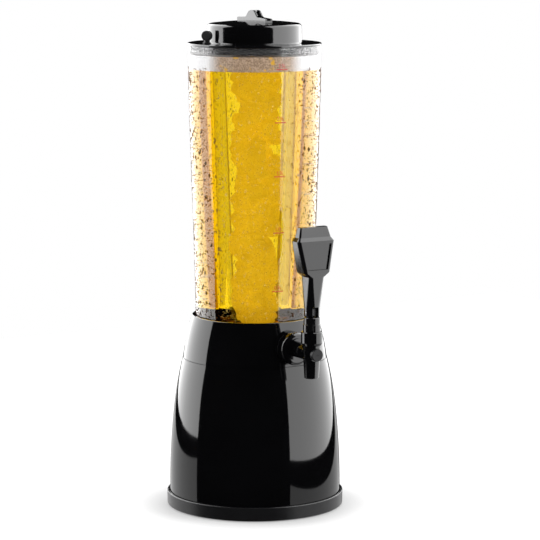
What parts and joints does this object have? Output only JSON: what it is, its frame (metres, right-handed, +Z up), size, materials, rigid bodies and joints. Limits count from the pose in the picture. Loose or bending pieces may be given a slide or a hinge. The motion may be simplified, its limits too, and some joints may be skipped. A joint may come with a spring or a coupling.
{
  "type": "beer tower dispenser",
  "caption": "Table-top drink tower with a clear tapered tube, a hanging ice tube, a lift-off lid and a lever tap on a flared base.",
  "frame": {"origin": "centre of the foot's underside, on the tower's axis", "axes": "+Z up along the tower's axis; the tap and its handle are on the -Y side; +X to the right of the tap seen from the front"},
  "size_m": [0.1756, 0.2099, 0.4919],
  "materials": {
    "gloss_black": "gloss",
    "satin_black": "satin",
    "clear_tube": "clear gloss",
    "clear_ice_tube": "clear gloss",
    "black_rubber": "matte",
    "steel": "bright",
    "stem_plastic": "satin"
  },
  "bodies": {
    "stand": {"nonslip_pad": "black_rubber", "base_plate": "satin_black", "base_screws": "steel", "base_shell": "gloss_black", "collar_screws": "steel", "reservoir_collar": "gloss_black", "tower_gasket": "black_rubber", "tower_tube": "clear_tube", "tap_outer_washer": "black_rubber", "tap_escutcheon": "gloss_black", "tap_inner_washer": "black_rubber", "tap_locknut": "satin_black", "tap_body": "gloss_black", "bonnet": "gloss_black", "stem_oring": "black_rubber"},
    "lid": {"lid": "gloss_black", "lid_gasket": "black_rubber", "lid_grip": "gloss_black", "grip_screws": "steel"},
    "ice_tube": {"ice_tube": "clear_ice_tube", "ice_tube_seal": "black_rubber"},
    "vent_plug": {"vent_plug": "black_rubber"},
    "stem": {"valve_stem": "stem_plastic", "seat_cup": "black_rubber", "valve_spring": "steel", "pivot_pin": "steel"},
    "handle": {"handle": "gloss_black", "handle_plate": "satin_black"},
    "flow_knob": {"flow_knob": "satin_black", "flow_oring": "black_rubber"}
  },
  "joints": [
    {"name": "lid_lift", "type": "slide", "parent": "stand", "child": "lid", "axis": [0, 0, 1], "range_m": [0, 0.29]},
    {"name": "ice_tube_turn", "type": "hinge", "parent": "lid", "child": "ice_tube", "pos_m": [0, 0, 0.459], "axis": [0, 0, 1], "range_deg": [0, 60]},
    {"name": "vent_plug_pull", "type": "slide", "parent": "lid", "child": "vent_plug", "axis": [0, 0, 1], "range_m": [0, 0.014]},
    {"name": "stem_lift", "type": "slide", "parent": "stand", "child": "stem", "axis": [0, 0, 1], "range_m": [0, 0.0024], "deforming": ["valve_spring"]},
    {"name": "handle_tilt", "type": "hinge", "parent": "stem", "child": "handle", "pos_m": [0, -0.1109, 0.2086], "axis": [1, 0, 0], "range_deg": [0, 30], "stiffness_Nm_per_rad": 0.12, "springref_deg": -17.19},
    {"name": "flow_turn", "type": "hinge", "parent": "stand", "child": "flow_knob", "pos_m": [0, -0.12, 0.168], "axis": [0, -1, 0], "range_deg": [0, 180]}
  ],
  "couplings": [
    {"joint": "stem_lift", "follows": "handle_tilt", "m_per_rad": 0.0044}
  ]
}
